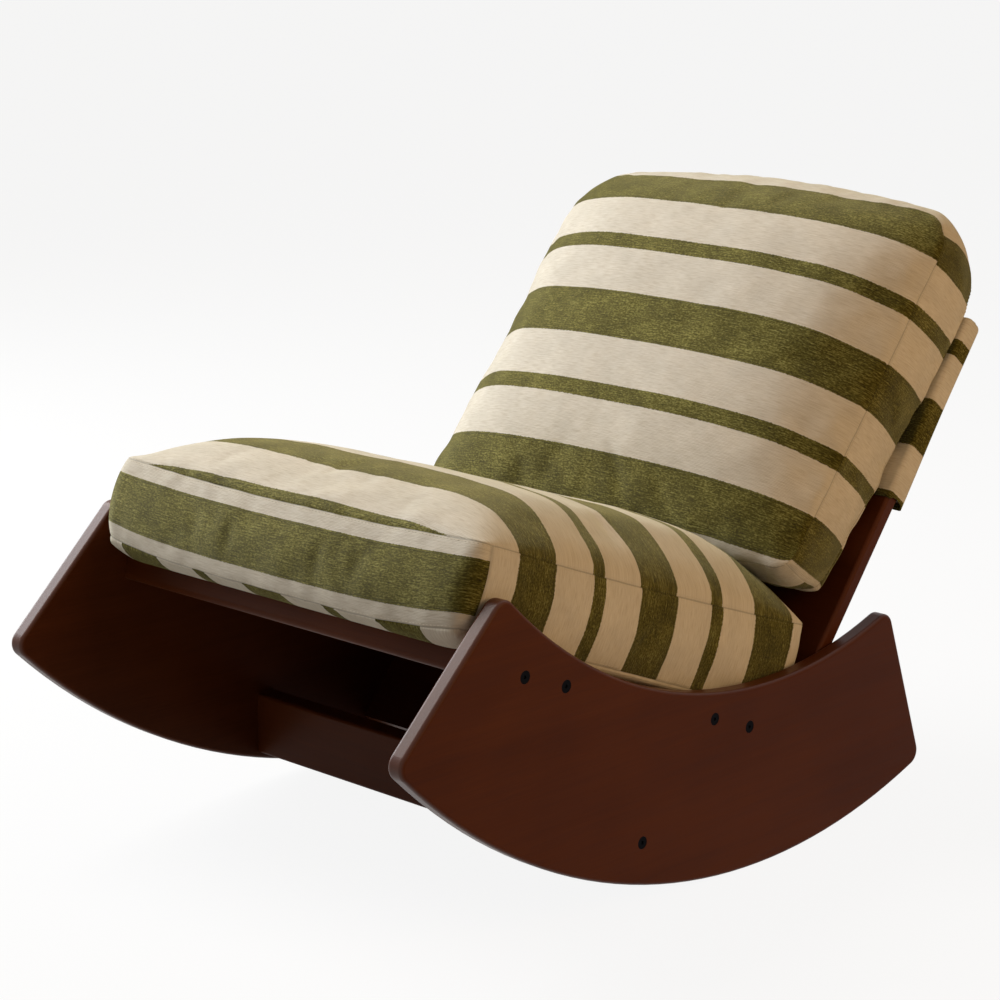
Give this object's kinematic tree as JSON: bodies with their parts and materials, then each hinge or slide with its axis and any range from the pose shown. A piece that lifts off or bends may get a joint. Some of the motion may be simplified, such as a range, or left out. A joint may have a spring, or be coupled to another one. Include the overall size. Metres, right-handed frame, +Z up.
{
  "type": "rocking lounge chair",
  "caption": "Low lounge chair that rocks on two crescent wooden side panels, with a slatted seat, a reclined back board and thick striped loose cushions.",
  "frame": {"origin": "middle of the line where the two rockers touch the floor at rest", "axes": "+Z up, -Y the way the sitter faces, +X to the sitter's left hand"},
  "size_m": [0.66, 1.102, 0.7739],
  "materials": {
    "walnut": "satin lacquer",
    "rail_wood": "oiled",
    "black_bolt": "black oxide",
    "insert_brass": "plain",
    "beech_dowel": "raw",
    "screw_steel": "zinc plated",
    "striped_fabric": "chenille, striped",
    "foam": "foam"
  },
  "bodies": {
    "frame": {"side_panel_left": "walnut", "side_panel_right": "walnut", "front_seat_rail": "walnut", "back_support_board": "walnut", "back_panel": "walnut", "lower_stretcher": "walnut", "side_seat_rail_left": "rail_wood", "side_seat_rail_right": "rail_wood", "seat_slat_1": "rail_wood", "seat_slat_2": "rail_wood", "seat_slat_3": "rail_wood", "seat_slat_4": "rail_wood", "seat_slat_5": "rail_wood", "seat_slat_6": "rail_wood", "seat_bolts": "black_bolt", "stretcher_bolts": "black_bolt", "back_panel_bolts": "black_bolt", "seat_bolt_inserts": "insert_brass", "stretcher_bolt_inserts": "insert_brass", "back_panel_inserts": "insert_brass", "front_rail_dowels": "beech_dowel", "rear_rail_dowels": "beech_dowel", "stretcher_dowels": "beech_dowel", "support_board_dowels": "beech_dowel", "slat_screws": "screw_steel"},
    "seat_cushion": {"seat_cushion_cover": "striped_fabric", "seat_cushion_base_panel": "striped_fabric", "seat_cushion_foam_core": "foam"},
    "back_cushion": {"back_cushion_cover": "striped_fabric", "back_cushion_rear_panel": "striped_fabric", "back_cushion_foam_core": "foam", "back_sleeve": "striped_fabric"}
  },
  "joints": [
    {"name": "seat_cushion_slide", "type": "slide", "parent": "frame", "child": "seat_cushion", "axis": [0, -0.9385, 0.3453], "range_m": [0, 0.3]},
    {"name": "back_cushion_slide", "type": "slide", "parent": "frame", "child": "back_cushion", "axis": [0, 0.6115, 0.7912], "range_m": [0, 0.27]}
  ]
}
